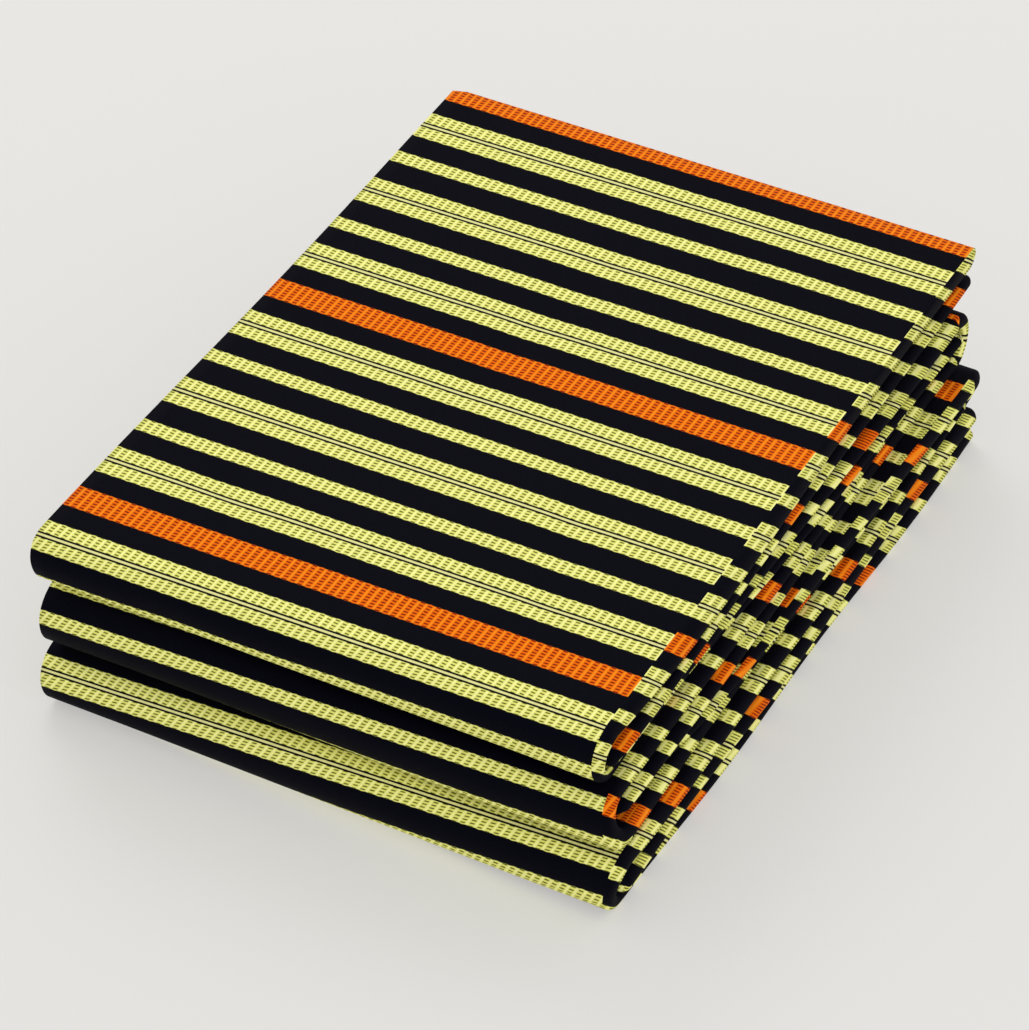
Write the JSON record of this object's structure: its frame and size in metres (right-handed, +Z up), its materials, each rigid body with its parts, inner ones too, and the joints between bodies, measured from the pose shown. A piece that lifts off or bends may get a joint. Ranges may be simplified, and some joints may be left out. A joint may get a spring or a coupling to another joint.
{
  "type": "folded wax print fabric",
  "caption": "Striped wax print cotton, folded lengthwise and then back and forth into a thick flat bundle with rounded front folds.",
  "frame": {"origin": "middle of the underside of the bundle's box", "axes": "+X along the rounded front folds to the side with the long folds, +Y to the back where the cut ends lie, +Z up"},
  "size_m": [0.312, 0.406, 0.1135],
  "materials": {
    "printed_cotton": "matt woven cotton with a light wax sheen"
  },
  "bodies": {
    "root": {"folded_cloth": "printed_cotton"}
  },
  "joints": []
}
